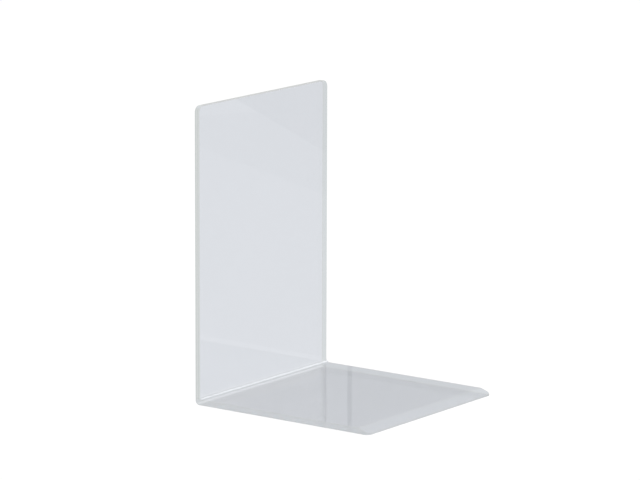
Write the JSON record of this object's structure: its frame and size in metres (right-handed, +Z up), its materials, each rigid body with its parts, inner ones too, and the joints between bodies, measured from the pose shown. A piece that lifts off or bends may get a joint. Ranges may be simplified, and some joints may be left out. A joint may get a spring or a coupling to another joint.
{
  "type": "desk privacy panel",
  "caption": "Clear free-standing L-shaped desk panel: an upright sheet bonded on edge to a flat foot with a bevelled leading edge, to divide a desk or shelf or prop up books.",
  "frame": {"origin": "on the desk, under the middle of the panel's overall box", "axes": "+Z up, +X from the upright to the foot's leading edge, +Y along the corner between them"},
  "size_m": [0.148, 0.148, 0.21],
  "materials": {
    "upright_sheet": "clear cast acrylic, faces as cast, cut edges polished",
    "foot_sheet": "clear cast acrylic, faces as cast, cut edges and bevel polished",
    "bond": "clear cured acrylic adhesive, glossy"
  },
  "bodies": {
    "root": {"upright_panel": "upright_sheet", "foot_plate": "foot_sheet", "corner_bond": "bond"}
  },
  "joints": []
}
